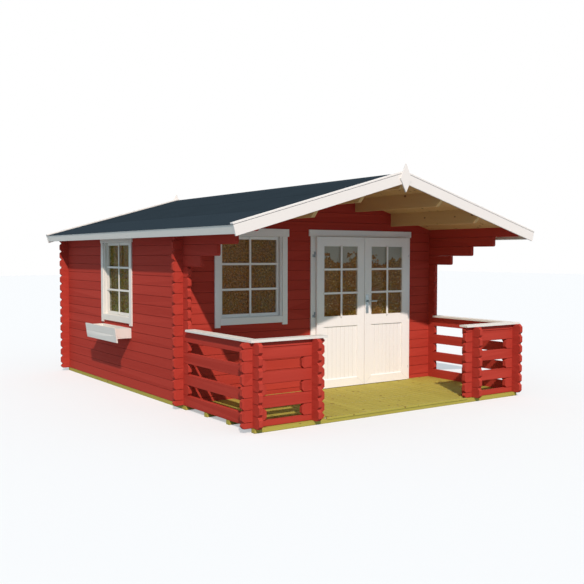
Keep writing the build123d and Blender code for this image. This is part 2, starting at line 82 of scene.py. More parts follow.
def layered(tree, base, *layers):
    # colours laid over the base in turn: where each one goes, how strongly, and its hex or socket;
    # sockets 6 and 7 of a colour mix are its two colours
    for where, share, colour in layers:
        strength = addNode(tree, "ShaderNodeMath", {"operation": "MULTIPLY", 1: share}, {0: where})
        mix = addNode(tree, "ShaderNodeMix", {"data_type": "RGBA"}, {0: strength.outputs[0]})
        for place, value in ((6, base), (7, colour)):
            if isinstance(value, str):
                mix.inputs[place].default_value = linear(value)
            else:
                tree.links.new(value, mix.inputs[place])
        base = mix.outputs[2]
    return base


def drySurface(tree, shader, look, colour, height):
    # colour, low sheen and fine relief of wood, paint or felt
    tree.links.new(colour, shader.inputs["Base Color"])
    shader.inputs["Roughness"].default_value = look["roughness"]
    shader.inputs["Specular IOR Level"].default_value = look["gloss"]
    relief = addNode(tree, "ShaderNodeBump",
                     {"Strength": look["relief"], "Distance": look["reliefMm"] / 1000},
                     {"Height": height})
    tree.links.new(relief.outputs[0], shader.inputs["Normal"])


# Shares of the space over a surface that are free, at which the painted shade of a joint begins and is full
jointShade = {"begins": 0.86, "full": 0.5, "rays": 8}


def recess(tree, reachMm, ownPieceOnly=True):
    # 1 in joints and grooves narrower than the reach, where little of the space over the surface is free: a
    # mask for painted shade
    openness = addNode(tree, "ShaderNodeAmbientOcclusion",
                       {"samples": jointShade["rays"], "only_local": ownPieceOnly,
                        "Distance": reachMm / 1000})
    return addNode(tree, "ShaderNodeMapRange",
                   {"From Min": jointShade["begins"], "From Max": jointShade["full"]},
                   {"Value": openness.outputs["AO"]}).outputs[0]


# Sawn and planed wood: rings round a pith that lies somewhere else in each board, drawn
# lengthwise along the board, with streaks and knots. Sizes in millimetres.
woodSizes = {
    "ringSpacing": 9.0,      # spruce has 2 to 4 mm, drawn coarser so that it shows
    "streakWidth": 30.0,     # lighter and darker bands along the board
    "drawnOut": 20.0,        # times longer along the board than across it
    "pithShift": (3100.0, 5700.0, 4300.0),    # at most, so that no two boards are cut alike
    "knotApart": 108.0,      # between knots in the log, few of which reach the board's face
    "knotLong": 1.5,         # cut at a slant, so longer along the board
    "knotSize": 26.0,
    "knotEdge": (0.65, 0.35),    # of its size, where the knot begins and where it is full
}


def woodGrain(tree, along, knots=True):
    # returns ring, streak, knot and board factors, and the place as it is and drawn out
    axis = "XYZ".index(along)
    place = addNode(tree, "ShaderNodeTexCoord").outputs["Object"]
    board = addNode(tree, "ShaderNodeNewGeometry").outputs["Random Per Island"]
    pithShift = [mm / 1000 for mm in woodSizes["pithShift"]]
    shift = addNode(tree, "ShaderNodeVectorMath", {"operation": "SCALE", 0: pithShift}, {"Scale": board})
    moved = addNode(tree, "ShaderNodeVectorMath", {"operation": "ADD"},
                    {0: place, 1: shift.outputs[0]}).outputs[0]
    squeeze = [1.0, 1.0, 1.0]
    squeeze[axis] = 1 / woodSizes["drawnOut"]
    grain = addNode(tree, "ShaderNodeVectorMath", {"operation": "MULTIPLY", 1: squeeze},
                    {0: moved}).outputs[0]
    waveTurn = 20            # radians that the wave texture turns in one unit
    ringScale = 2 * math.pi / (waveTurn * woodSizes["ringSpacing"] / 1000)
    rings = addNode(tree, "ShaderNodeTexWave",
                    {"wave_type": "RINGS", "rings_direction": along, "Scale": ringScale, "Distortion": 5.0,
                     "Detail": 2.0, "Detail Scale": 0.6, "Detail Roughness": 0.5},
                    {"Vector": grain})
    streaks = addNode(tree, "ShaderNodeTexNoise",
                      {"Scale": 1000 / woodSizes["streakWidth"], "Detail": 4.0, "Roughness": 0.6},
                      {"Vector": grain})
    knotFactor = None
    if knots:
        apart = woodSizes["knotApart"]
        size = woodSizes["knotSize"] / apart
        edge, core = woodSizes["knotEdge"]
        stretch = [1000 / apart] * 3
        stretch[axis] = 1000 / (apart * woodSizes["knotLong"])
        cells = addNode(tree, "ShaderNodeVectorMath", {"operation": "MULTIPLY", 1: stretch}, {0: moved})
        knot = addNode(tree, "ShaderNodeTexVoronoi", {"Scale": 1.0, "Randomness": 0.9},
                       {"Vector": cells.outputs[0]})
        knotFactor = addNode(tree, "ShaderNodeMapRange",
                             {"From Min": edge * size, "From Max": core * size,
                              "interpolation_type": "SMOOTHSTEP"},
                             {"Value": knot.outputs["Distance"]}).outputs[0]
    return {"rings": rings.outputs["Fac"], "streaks": streaks.outputs["Fac"], "knots": knotFactor,
            "board": board, "grain": grain, "place": place}


# Planed spruce with an opaque red stain outside, bare inside the room. The stain is a satin
# coat that lets the rings show as faint ridges; its colour varies a little from board to board.
redStain = {
    "stain": "b33e32",
    "paler": "be473b",
    "darker": "a0342a",
    # colour of the painted shade in the seams between the logs
    "joint": "5c1a14",
    "bareWood": "c09056",
    "bareDark": "9c6f3c",
    "wallInside": 0.0435,    # metres in from the outer faces, where the bare wood starts
    "jointMm": 9.0,
    "streaks": 0.8,          # how strongly each of these shows
    "rings": 0.22,
    "joints": 0.6,
    "bareRings": 0.6,
    "roughness": 0.72,
    "gloss": 0.06,
    "relief": 0.35,
    "reliefMm": 0.5,
}


def stainedSpruce(along):
    material, tree, shader = newMaterial("redStainedSpruce" + along)
    wood = woodGrain(tree, along, knots=False)
    tone = layered(tree, redStain["darker"], (wood["board"], 1.0, redStain["paler"]))
    # painted shade darkens the seams between the logs
    stained = layered(tree, redStain["stain"],
                      (wood["streaks"], redStain["streaks"], tone),
                      (wood["rings"], redStain["rings"], redStain["darker"]),
                      (recess(tree, redStain["jointMm"]), redStain["joints"], redStain["joint"]))
    bare = layered(tree, redStain["bareWood"],
                   (wood["rings"], redStain["bareRings"], redStain["bareDark"]))
    # the room's own side of the walls was left bare
    inset = redStain["wallInside"]
    limits = (("X", "GREATER_THAN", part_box("left_wall")[0].x + inset),
              ("X", "LESS_THAN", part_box("right_wall")[1].x - inset),
              ("Y", "GREATER_THAN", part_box("front_wall_left")[0].y + inset),
              ("Y", "LESS_THAN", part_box("back_wall")[1].y - inset))
    parts = addNode(tree, "ShaderNodeSeparateXYZ", links={0: wood["place"]})
    tests = [addNode(tree, "ShaderNodeMath", {"operation": operation, 1: limit},
                     {0: parts.outputs[axis]}).outputs[0] for axis, operation, limit in limits]
    inside = tests[0]
    for test in tests[1:]:
        inside = addNode(tree, "ShaderNodeMath", {"operation": "MULTIPLY"},
                         {0: inside, 1: test}).outputs[0]
    drySurface(tree, shader, redStain, layered(tree, stained, (inside, 1.0, bare)), wood["rings"])
    return material


# Planed softwood under a white acrylic wood paint: a satin film, slightly warm, that fills
# most of the grain and leaves faint brush streaks along the board.
whitePaint = {
    "paint": "f1efec",
    "leafPaintLit": "f5f4f3",   # door leaves: a lighter copy of the paint, painted light on their sunlit front
    "sidePaintShaded": "e0dcd3",   # boards along the sides: a darker copy of the paint, painted shade for faces turned from the lamp
    "bargePaintShaded": "e9e2dc",  # barge boards: a little darker, painted shade
    "shade": "e4e1db",
    # colour of the painted shade in the joints and grooves of trims, frames and door leaves
    "joint": "a89f93",
    "jointMm": 6.0,
    "brushMm": 7.0,
    "streaks": 0.5,          # how strongly each of these shows
    "joints": 0.8,
    "roughness": 0.5,
    "gloss": 0.25,
    "relief": 0.3,
    "reliefMm": 0.25,
}


def paintedWood(name, along, paint, joints=True):
    material, tree, shader = newMaterial(name)
    wood = woodGrain(tree, along, knots=False)
    brush = addNode(tree, "ShaderNodeTexNoise", {"Scale": 1000 / whitePaint["brushMm"], "Detail": 2.0},
                    {"Vector": wood["grain"]})
    base = layered(tree, paint, (wood["streaks"], whitePaint["streaks"], whitePaint["shade"]))
    # painted shade in the joints and grooves
    if joints:
        shadedGrooves = recess(tree, whitePaint["jointMm"])
        base = layered(tree, base, (shadedGrooves, whitePaint["joints"], whitePaint["joint"]))
    drySurface(tree, shader, whitePaint, base, brush.outputs["Fac"])
    return material


# How strongly rings, streaks, single boards and knots show on wood without a coat, and the painted shade in
# its joints
uncoated = {
    "rings": 0.55,
    "streaks": 0.55,
    "boards": 0.3,
    "knots": 0.85,
    "joints": 0.8,
    "relief": 0.5,
    "reliefMm": 0.6,
}

# Pressure treated pine: the salts leave it yellow green, matt, with brown knots and
# clear rings.
treatedPine = {
    **uncoated,
    "early": "bdb456",
    "late": "9d8f3e",
    "knot": "644420",
    "board": "978e3e",
    # colour of the painted shade between the terrace boards and where other pieces come close
    "joint": "4c4620",
    "jointMm": 9.0,
    "roughness": 0.75,
    "gloss": 0.15,
}

# Bare planed spruce: honey brown with darker late wood and small brown knots.
bareSpruce = {
    **uncoated,
    "early": "e0b982",
    "late": "bd935c",
    "knot": "6b4320",
    "board": "caa268",
    "roughness": 0.65,
    "gloss": 0.15,
}

# Spruce floor boards, planed and unfinished: a little duller than the roof's, and smoother
# from being walked on.
floorSpruce = {
    **uncoated,
    "early": "cfae7c",
    "late": "ad8a58",
    "knot": "6b4726",
    "board": "b39163",
    "roughness": 0.55,
    "gloss": 0.3,
}


def plainWood(name, look, along):
    material, tree, shader = newMaterial(name + along)
    wood = woodGrain(tree, along)
    base = layered(tree, look["early"],
                   (wood["rings"], look["rings"], look["late"]),
                   (wood["streaks"], look["streaks"], look["late"]),
                   (wood["board"], look["boards"], look["board"]),
                   (wood["knots"], look["knots"], look["knot"]))
    # painted shade between boards and where other pieces come close
    if "joint" in look:
        shadedGrooves = recess(tree, look["jointMm"], ownPieceOnly=False)
        base = layered(tree, base, (shadedGrooves, look["joints"], look["joint"]))
    drySurface(tree, shader, look, base, wood["rings"])
    return material


# Bitumen roofing felt with slate grit: blue black, matt, with a speckle of paler grains.
feltLook = {
    "bitumen": "273036",
    "worn": "2e383f",
    "paleRoll": "323d45",    # rolls differ a little from each other
    "grit": "3a454d",
    "patchMm": 420.0,
    "gritMm": 9.0,           # real grit is 1 mm, drawn coarser so that it shows
    "grainsFrom": 0.42,      # of the grit's noise, where a pale grain begins and is full
    "grainsTo": 0.7,
    "rolls": 0.5,            # how strongly each of these shows
    "grains": 0.55,
    "roughness": 0.95,
    "gloss": 0.0,
    "relief": 0.5,
    "reliefMm": 1.2,
}


def mineralFelt():
    material, tree, shader = newMaterial("gritRoofingFelt")
    place = addNode(tree, "ShaderNodeTexCoord").outputs["Object"]
    roll = addNode(tree, "ShaderNodeNewGeometry").outputs["Random Per Island"]
    patch = addNode(tree, "ShaderNodeTexNoise", {"Scale": 1000 / feltLook["patchMm"], "Detail": 4.0},
                    {"Vector": place})
    grit = addNode(tree, "ShaderNodeTexNoise",
                   {"Scale": 1000 / feltLook["gritMm"], "Detail": 3.0, "Roughness": 0.7},
                   {"Vector": place})
    grains = addNode(tree, "ShaderNodeMapRange",
                     {"From Min": feltLook["grainsFrom"], "From Max": feltLook["grainsTo"]},
                     {"Value": grit.outputs["Fac"]})
    base = layered(tree, feltLook["bitumen"],
                   (patch.outputs["Fac"], 1.0, feltLook["worn"]),
                   (roll, feltLook["rolls"], feltLook["paleRoll"]),
                   (grains.outputs[0], feltLook["grains"], feltLook["grit"]))
    drySurface(tree, shader, feltLook, base, grit.outputs["Fac"])
    return material


# Float glass, 4 mm: a thin glossy sheet that lets some light into the room. Its colour is painted: olive
# brown for the bare wood behind it, and a painted reflection of the country round about, with flecks like
# leaves and, higher up, uneven patches of pale sky.
glassLook = {
    "front": {"woodBehind": "7a5a20", "green": "6e6824", "dark": "2a1c0a", "fleck": "d8bc84",
              "gloss": 0.25},
    "side": {"woodBehind": "4a4e10", "green": "4e6e0c", "dark": "101202", "fleck": "a8b43c",
             "gloss": 0.08},
    # colour of the painted reflection of the sky
    "sky": "a6b0a8",
    # how large each trace is, and from where to where it comes up out of its noise
    "patches": {"mm": 300.0, "detail": 1.0, "from": 0.4, "to": 0.62},
    "gaps": {"mm": 26.0, "detail": 4.0, "from": 0.47, "to": 0.6},
    "flecks": {"mm": 20.8, "detail": 3.0, "from": 0.56, "to": 0.66},
    "gapShade": 0.6,         # how strongly gaps between leaves and flecks show
    "fleckLight": 0.8,
    "skyMm": 420.0,
    "skyFrom": 1.4,          # metres up, where the patches of sky begin
    "skyTo": 1.9,
    "skyLeast": -0.26,       # added to their noise at those two heights
    "skyMost": 0.34,
    "skyEdge": (0.565, 0.58),
    "cover": 0.24,           # of each of the two faces, more where the painted reflection has leaves or sky
    "leafCover": 0.36,
    "skyCover": 0.6,
    "ior": 1.5,
    "roughness": 0.03,
}


def floatGlass(name, tint, withPaintedSky):
    material, tree, shader = newMaterial(name)
    place = addNode(tree, "ShaderNodeTexCoord").outputs["Object"]
    trace = {}
    for kind in ("patches", "gaps", "flecks"):
        size = glassLook[kind]
        field = addNode(tree, "ShaderNodeTexNoise",
                        {"Scale": 1000 / size["mm"], "Detail": size["detail"], "Roughness": 0.65},
                        {"Vector": place})
        trace[kind] = addNode(tree, "ShaderNodeMapRange", {"From Min": size["from"], "From Max": size["to"]},
                              {"Value": field.outputs["Fac"]}).outputs[0]
    base = layered(tree, tint["woodBehind"],
                   (trace["patches"], 1.0, tint["green"]),
                   (trace["gaps"], glassLook["gapShade"], tint["dark"]),
                   (trace["flecks"], glassLook["fleckLight"], tint["fleck"]))
    leaves = addNode(tree, "ShaderNodeMath", {"operation": "ADD"}, {0: trace["gaps"], 1: trace["flecks"]})
    covered = addNode(tree, "ShaderNodeMath",
                      {"operation": "MULTIPLY_ADD", 1: glassLook["leafCover"], 2: glassLook["cover"]},
                      {0: leaves.outputs[0]}).outputs[0]
    if withPaintedSky:
        # painted reflection of sky: patches with a ragged edge, more of them the higher up
        height = addNode(tree, "ShaderNodeSeparateXYZ", links={0: place}).outputs[2]
        up = addNode(tree, "ShaderNodeMapRange",
                     {"From Min": glassLook["skyFrom"], "From Max": glassLook["skyTo"],
                      "To Min": glassLook["skyLeast"], "To Max": glassLook["skyMost"]},
                     {"Value": height}).outputs[0]
        ragged = addNode(tree, "ShaderNodeTexNoise",
                         {"Scale": 1000 / glassLook["skyMm"], "Detail": 6.0, "Roughness": 0.7},
                         {"Vector": place})
        skyField = addNode(tree, "ShaderNodeMath", {"operation": "ADD"}, {0: ragged.outputs["Fac"], 1: up})
        edgeLow, edgeHigh = glassLook["skyEdge"]
        sky = addNode(tree, "ShaderNodeMapRange", {"From Min": edgeLow, "From Max": edgeHigh},
                      {"Value": skyField.outputs[0]}).outputs[0]
        base = layered(tree, base, (sky, 1.0, glassLook["sky"]))
        # sockets 2 and 3 of a plain mix are its two values
        covered = addNode(tree, "ShaderNodeMix", {"data_type": "FLOAT", 3: glassLook["skyCover"]},
                          {0: sky, 2: covered}).outputs[0]
    tree.links.new(base, shader.inputs["Base Color"])
    tree.links.new(covered, shader.inputs["Alpha"])
    shader.inputs["IOR"].default_value = glassLook["ior"]
    shader.inputs["Specular IOR Level"].default_value = tint["gloss"]
    shader.inputs["Roughness"].default_value = glassLook["roughness"]
    return material


# Zinc plated steel, tumbled: a soft bluish grey with fine scratches. The hinges' coat is dull.
zincLook = {"zinc": "9fb0b6", "smoothest": 0.34, "roughest": 0.52, "metallic": 1.0, "scratchMm": 1.5}
dullZincLook = {"zinc": "a3adb2", "smoothest": 0.52, "roughest": 0.7, "metallic": 0.4, "scratchMm": 3.0}


def zincSteel(name, look):
    material, tree, shader = newMaterial(name)
    place = addNode(tree, "ShaderNodeTexCoord").outputs["Object"]
    scratch = addNode(tree, "ShaderNodeTexNoise", {"Scale": 1000 / look["scratchMm"], "Detail": 2.0},
                      {"Vector": place})
    rough = addNode(tree, "ShaderNodeMapRange", {"To Min": look["smoothest"], "To Max": look["roughest"]},
                    {"Value": scratch.outputs["Fac"]})
    tree.links.new(rough.outputs[0], shader.inputs["Roughness"])
    shader.inputs["Base Color"].default_value = linear(look["zinc"])
    shader.inputs["Metallic"].default_value = look["metallic"]
    return material


redX = stainedSpruce("X")
redY = stainedSpruce("Y")
whiteX = paintedWood("whitePaintedTrim", "X", whitePaint["paint"])
whiteY = paintedWood("whitePaintSideShaded", "Y", whitePaint["sidePaintShaded"])
whiteZ = paintedWood("whitePaintLeafLit", "Z", whitePaint["leafPaintLit"])
whiteBarge = paintedWood("whitePaintBargeShaded", "X", whitePaint["bargePaintShaded"], joints=False)
pineX = plainWood("treatedPine", treatedPine, "X")
pineY = plainWood("treatedPine", treatedPine, "Y")
spruceX = plainWood("bareSpruce", bareSpruce, "X")
spruceY = plainWood("bareSpruce", bareSpruce, "Y")
floorX = plainWood("floorSpruce", floorSpruce, "X")
felt = mineralFelt()
glassDoor = floatGlass("floatGlassDoor", glassLook["front"], True)
glassFront = floatGlass("floatGlassFront", glassLook["front"], False)
glassSide = floatGlass("floatGlassSide", glassLook["side"], False)
zinc = zincSteel("zincPlatedSteel", zincLook)
dullZinc = zincSteel("dullZincPlatedSteel", dullZincLook)
print("materials made")

finishes = {
    redX: ("front_wall_left", "front_wall_right", "back_wall", "front_gable", "back_gable",
           "left_rail_front", "right_rail_front"),
    redY: ("left_wall", "right_wall", "left_rail_side", "right_rail_side", "left_rail_post",
           "right_rail_post"),
    whiteX: ("front_window_frame", "front_window_trim", "door_frame", "door_trim"),
    whiteBarge: ("front_barge_boards", "back_barge_boards", "front_finial", "back_finial"),
    whiteY: ("eaves_fascia_left", "eaves_fascia_right", "side_window_frame", "side_window_trim",
             "flower_box", "left_rail_cap", "right_rail_cap"),
    whiteZ: ("door_leaf_left", "door_leaf_right"),
    pineX: ("base_bearers",),
    spruceY: ("ridge_purlin", "left_purlins", "right_purlins"),
    glassDoor: ("door_glass_left", "door_glass_right"),
    glassFront: ("front_window_glass",),
    glassSide: ("side_window_glass",),
    zinc: ("lock_plates", "door_handle"),
    dullZinc: ("hinge_pins", "door_hinges_left", "door_hinges_right"),
}
# How far edges are eased; logs, bearers and glass keep the edges that they have
easing = {
    "wood": 0.0018,
    "metal": 0.0006,
    "sharperThan": 40,       # degrees between the two faces
    "weld": 0.00005,         # closes the seams between the faces of a CAD piece
}
notEased = (redX, redY, pineX, glassDoor, glassFront, glassSide)
for finish, names in finishes.items():
    for name in names:
        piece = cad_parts[name]
        piece.data.materials.clear()
        piece.data.materials.append(finish)
        weld = piece.modifiers.new("weld", "WELD")
        weld.merge_threshold = easing["weld"]
        if finish not in notEased:
            rounding = piece.modifiers.new("rounding", "BEVEL")
            rounding.width = easing["metal"] if finish in (zinc, dullZinc) else easing["wood"]
            rounding.segments = 2
            rounding.limit_method = "ANGLE"
            rounding.angle_limit = math.radians(easing["sharperThan"])
print("CAD pieces finished")


def newPiece(name, mesh, body, material):
    mesh.materials.append(material)
    piece = bpy.data.objects.new(name, mesh)
    bpy.context.collection.objects.link(piece)
    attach(piece, body)
    return piece


def meshFrom(bm, name):
    mesh = bpy.data.meshes.new(name)
    bm.to_mesh(mesh)
    bm.free()
    return mesh


def boardMesh(name, boards, rounding):
    # boards: the corners of one end of each, then of its other end; every edge is eased
    bm = bmesh.new()
    for corners in boards:
        v = [bm.verts.new(c) for c in corners]
        count = len(v) // 2
        bm.faces.new(v[:count][::-1])
        bm.faces.new(v[count:])
        for i in range(count):
            j = (i + 1) % count
            bm.faces.new((v[i], v[j], v[count + j], v[count + i]))
    bmesh.ops.recalc_face_normals(bm, faces=bm.faces)
    bmesh.ops.bevel(bm, geom=bm.edges[:], offset=rounding, segments=1, affect="EDGES", clamp_overlap=True)
    return meshFrom(bm, name)


def block(x0, x1, y0, y1, z0, z1):
    return [(x0, y0, z0), (x1, y0, z0), (x1, y1, z0), (x0, y1, z0),
            (x0, y0, z1), (x1, y0, z1), (x1, y1, z1), (x0, y1, z1)]


# Terrace boards, laid front to back, with two boards across their ends at the front edge
deckSizes = {
    "board": 0.092,
    "gap": 0.006,
    "rounding": 0.002,
    "nosing": 0.022,         # thickness of the boards across the front
    "nosingJoint": 0.62,     # where they meet, from the left rail to the right one
    "clear": 0.002,          # left free at rails, posts and ends
}
deckLow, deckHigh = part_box("terrace_deck")
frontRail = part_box("left_rail_front")
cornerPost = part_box("left_rail_post")
deckCount = round((deckHigh.x - deckLow.x) / (deckSizes["board"] + deckSizes["gap"]))
deckStep = (deckHigh.x - deckLow.x) / deckCount
gate = frontRail[1].x + deckSizes["clear"]    # the deck runs forward between the two front rails


def terraceBoards():
    clear = deckSizes["clear"]
    nosing = deckSizes["nosing"]
    postLow, postHigh = cornerPost[0].x, cornerPost[1].x
    boards = []
    for i in range(deckCount):
        x0 = deckLow.x + i * deckStep + deckSizes["gap"] / 2
        x1 = x0 + deckStep - deckSizes["gap"]
        start = frontRail[1].y + clear / 2
        if x0 >= gate and x1 <= -gate:
            start = deckLow.y + nosing + clear
        for a, b in ((postLow, postHigh), (-postHigh, -postLow)):
            if x0 < b + clear / 2 and x1 > a - clear / 2:
                start = cornerPost[1].y + clear
        boards.append(block(x0, x1, start, deckHigh.y, deckLow.z, deckHigh.z))
    joint = gate + (-2 * gate) * deckSizes["nosingJoint"]
    for x0, x1 in ((gate, joint - clear / 2), (joint + clear / 2, -gate)):
        boards.append(block(x0, x1, deckLow.y, deckLow.y + nosing, deckLow.z, deckHigh.z))
    mesh = boardMesh("terraceBoards", boards, deckSizes["rounding"])
    piece = newPiece("terraceBoards", mesh, "cabin", pineY)
    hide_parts("terrace_deck")


# Tongued floor boards in the room, laid from side to side
floorSizes = {"board": 0.096, "gap": 0.001, "rounding": 0.0015}


def roomFloor():
    low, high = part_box("floor_boards")
    count = round((high.y - low.y) / floorSizes["board"])
    step = (high.y - low.y) / count
    gap = floorSizes["gap"] / 2
    boards = [block(low.x, high.x, low.y + i * step + gap, low.y + (i + 1) * step - gap, low.z, high.z)
              for i in range(count)]
    mesh = boardMesh("roomFloor", boards, floorSizes["rounding"])
    piece = newPiece("roomFloor", mesh, "cabin", floorX)
    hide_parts("floor_boards")


# Roof boards run from the ridge to the eaves; their bevelled joints show from below
roofSizes = {"board": 0.092, "gap": 0.0008, "rounding": 0.0025, "thickness": 0.019}
roofLow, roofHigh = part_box("roof_boards_right")


def roofPitch():
    # from the corners of the roof boards, which are cut square to the slope at their foot;
    # a few rounds are enough for the angle to settle
    angle = 0.0
    for _ in range(12):
        rise = roofHigh.z - roofLow.z - roofSizes["thickness"] / math.cos(angle)
        angle = math.atan(rise / (roofHigh.x - roofLow.x - roofSizes["thickness"] * math.sin(angle)))
    return angle


pitch = roofPitch()
ridgeUnderside = roofHigh.z - roofSizes["thickness"] / math.cos(pitch)


def onRoof(sign, down, up):
    # x and z so far down the slope from the ridge and so far up from the underside of its boards
    return (sign * (down * math.cos(pitch) + up * math.sin(pitch)),
            ridgeUnderside - down * math.sin(pitch) + up * math.cos(pitch))


def alongY(profile, y0, y1):
    # the two ends of a piece whose section lies in XZ
    return [(x, y0, z) for x, z in profile] + [(x, y1, z) for x, z in profile]


def roofBoards(side, sign):
    low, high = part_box("roof_boards_" + side)
    thick = roofSizes["thickness"]
    start = roofLow.x / math.cos(pitch)
    foot = (roofHigh.x - thick * math.sin(pitch)) / math.cos(pitch)
    section = [onRoof(sign, start, 0), onRoof(sign, foot, 0), onRoof(sign, foot, thick),
               onRoof(sign, start - thick * math.tan(pitch), thick)]
    count = round((high.y - low.y) / roofSizes["board"])
    step = (high.y - low.y) / count
    gap = roofSizes["gap"] / 2
    boards = [alongY(section, low.y + i * step + gap, low.y + (i + 1) * step - gap) for i in range(count)]
    name = "roofBoards" + side.capitalize()
    piece = newPiece(name, boardMesh(name, boards, roofSizes["rounding"]), "cabin", spruceX)
    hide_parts("roof_boards_" + side)


# Felt in strips along the eaves. The upper one always laps over the one below, and one more
# strip is folded over the ridge.
feltSizes = {
    "strips": 3,
    "lap": 0.09,
    "ridge": 0.2,            # down each slope from the fold
    "thickness": 0.0013,
    "step": 0.03,            # over which a strip climbs onto the one below
    "clear": 0.0003,         # over the boards
    "rounding": 0.0004,
}


def feltStrips():
    low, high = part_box("roofing_felt")
    top = (high.z - ridgeUnderside) * math.cos(pitch)
    foot = (high.x - top * math.sin(pitch)) / math.cos(pitch)
    thin = feltSizes["thickness"]
    ridge = feltSizes["ridge"]
    base = roofSizes["thickness"] + feltSizes["clear"]
    strips = []
    for sign in (-1, 1):
        for i in range(feltSizes["strips"]):
            a = foot * i / feltSizes["strips"]
            b = foot * (i + 1) / feltSizes["strips"]
            under = [(a, base), (b, base)]
            if i < feltSizes["strips"] - 1:
                under = [(a, base), (b - feltSizes["step"], base), (b, base + thin),
                         (b + feltSizes["lap"], base + thin)]
            if i == 0:
                under[0] = (-base * math.tan(pitch), base)
            over = [(down, up + thin) for down, up in under]
            if i == 0:
                over[0] = (-(base + thin) * math.tan(pitch), base + thin)
            strips.append(alongY([onRoof(sign, *p) for p in under + over[::-1]], low.y, high.y))
    inner = base + thin
    outer = base + 2 * thin
    section = [onRoof(-1, ridge, inner), onRoof(-1, -inner * math.tan(pitch), inner),
               onRoof(1, ridge, inner), onRoof(1, ridge, outer),
               onRoof(1, -outer * math.tan(pitch), outer), onRoof(-1, ridge, outer)]
    strips.append(alongY(section, low.y, high.y))
    mesh = boardMesh("feltStrips", strips, feltSizes["rounding"])
    piece = newPiece("feltStrips", mesh, "cabin", felt)
    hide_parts("roofing_felt")


def turnedMesh(name, spots, profile, sides, star=1.0, hollow=False):
    # turned pieces, one for each spot (point, direction it faces); profile runs along the axis as
    # (radius, height) pairs, and every second point of its last two rings is drawn in by star.
    # A hollow one is open in the middle, and its profile closes on itself.
    bm = bmesh.new()
    for point, facing in spots:
        place = Matrix.Translation(point) @ Vector(facing).to_track_quat("Z", "Y").to_matrix().to_4x4()
        rings = []
        for k, (radius, height) in enumerate(profile):
            inward = star if k >= len(profile) - 2 else 1.0
            ring = []
            for i in range(sides):
                reach = radius * (inward if i % 2 else 1.0)
                turn = 2 * math.pi * i / sides
                corner = Vector((reach * math.cos(turn), reach * math.sin(turn), height))
                ring.append(bm.verts.new(place @ corner))
            rings.append(ring)
        following = rings[1:] + rings[:1] if hollow else rings[1:]
        for a, b in zip(rings, following):
            for i in range(sides):
                j = (i + 1) % sides
                bm.faces.new((a[i], a[j], b[j], b[i]))
        if not hollow:
            bm.faces.new(rings[0][::-1])
            bm.faces.new(rings[-1])
    bmesh.ops.recalc_face_normals(bm, faces=bm.faces)
    return meshFrom(bm, name)


# Countersunk screws with a star recess: two through each terrace board at every bearer, and
# smaller ones through the lock plates. Wider ones sit below the door's window bars.
screwSizes = {
    "deck": 0.0045,          # radius of each kind of head
    "plate": 0.0032,
    "bars": 0.0075,
    "proud": 0.0006,
    "sunk": 0.0015,
    "rim": 0.0002,           # down from the surface
    "foot": 0.9,             # of the head's radius: foot, flat top, recess, its floor, its depth
    "top": 0.86,
    "recess": 0.48,
    "recessFloor": 0.4,
    "recessDeep": 0.35,
    "star": 0.66,
    "sides": 12,
    "edge": 0.02,            # in from the edges of a terrace board
    "deckRows": (0.03, 0.514, 0.983, 1.47),    # from the deck's back edge, over each bearer
    "fromPost": 0.01,
    "barsProud": 0.009,
    "barsBelow": 0.016,
}


def screws(name, body, spots, radius):
    proud = screwSizes["proud"]
    profile = [(radius * screwSizes["foot"], -screwSizes["sunk"]), (radius, -screwSizes["rim"]),
               (radius * screwSizes["top"], proud), (radius * screwSizes["recess"], proud),
               (radius * screwSizes["recessFloor"], proud - radius * screwSizes["recessDeep"])]
    mesh = turnedMesh(name, spots, profile, screwSizes["sides"], screwSizes["star"])
    newPiece(name, mesh, body, zinc)


def deckScrews():
    spots = []
    for i in range(deckCount):
        middle = deckLow.x + (i + 0.5) * deckStep
        inGate = gate < middle - deckStep / 2 and middle + deckStep / 2 < -gate
        for back in screwSizes["deckRows"]:
            y = deckHigh.y - back
            if y < cornerPost[1].y + screwSizes["fromPost"] and not inGate:
                continue
            for side in (-1, 1):
                x = middle + side * (deckStep / 2 - screwSizes["edge"])
                spots.append(((x, y, deckHigh.z), (0, 0, 1)))
    screws("deckScrews", "cabin", spots, screwSizes["deck"])


def doorScrews():
    for side in ("left", "right"):
        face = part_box("door_leaf_" + side)[0].y + screwSizes["barsProud"]
        paneLow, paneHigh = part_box("door_glass_" + side)
        middle = (paneLow.x + paneHigh.x) / 2
        spots = [((middle, face, paneLow.z - screwSizes["barsBelow"]), (0, -1, 0))]
        screws("barScrew" + side.capitalize(), side + "_leaf", spots, screwSizes["bars"])


# Round parts on the lock plates: a collar round the handle's spindle and a profile cylinder
lockSizes = {
    "screwIn": 0.014,        # from the ends of the plate
    "drop": 0.072,           # from the spindle down to the cylinder
    "spindle": 0.0092,
    "collar": 0.014,
    "collarHigh": 0.006,
    "collarShoulder": 0.7,   # of its height
    "collarEdge": 0.001,
    "collarSunk": 0.0005,
    "collarSides": 32,
    "cylinder": 0.0085,
    "cylinderHigh": 0.003,
    "cylinderShoulder": 0.0025,
    "cylinderEdge": 0.0006,
    "cylinderSunk": 0.001,
    "cylinderSides": 24,
    "keyway": 0.3,           # of the cylinder's radius, at its mouth and at its floor
    "keywayFloor": 0.24,
    "keywayDeep": 0.0005,    # below the plate's face
}


